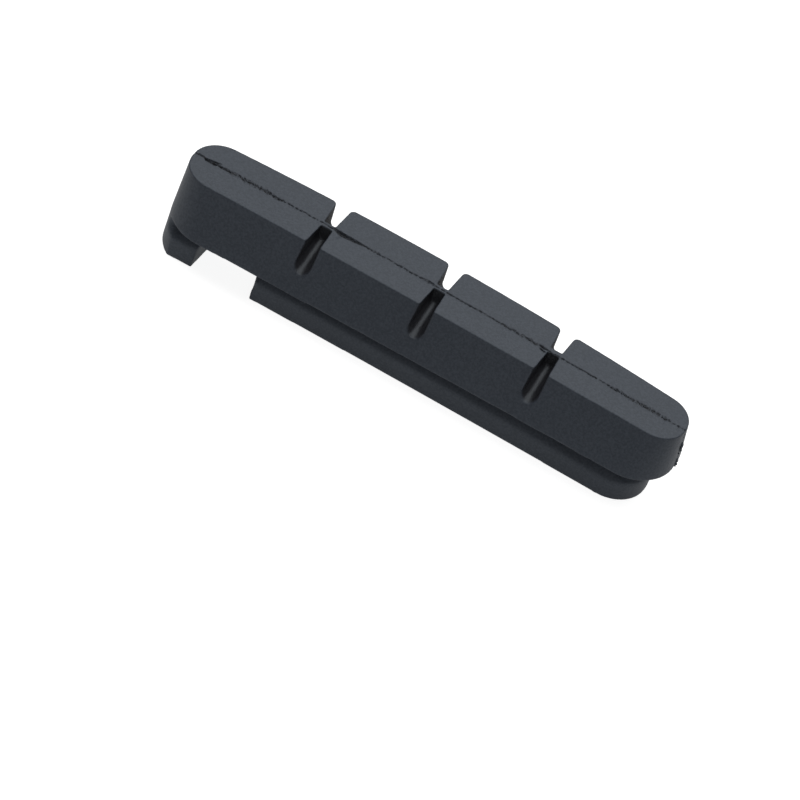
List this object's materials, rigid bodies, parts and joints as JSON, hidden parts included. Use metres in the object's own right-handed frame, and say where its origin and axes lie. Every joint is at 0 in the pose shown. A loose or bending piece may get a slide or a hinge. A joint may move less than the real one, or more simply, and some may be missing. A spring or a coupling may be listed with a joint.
{
  "type": "rim brake pad",
  "caption": "Moulded black rubber rim brake pad insert: drafted slotted braking block on a slide-in rail, with a retaining lug and a screw notch across the back.",
  "frame": {"origin": "middle of the pad's footprint, on the back of the rail", "axes": "+X along the pad to its plain end, away from the lug; +Y across it to the bowed long side; +Z out of the braking face"},
  "size_m": [0.0554, 0.0108, 0.0093],
  "materials": {
    "pad_rubber": "matte moulded rubber with a fine grain"
  },
  "bodies": {
    "root": {"brake_pad_insert": "pad_rubber"}
  },
  "joints": []
}
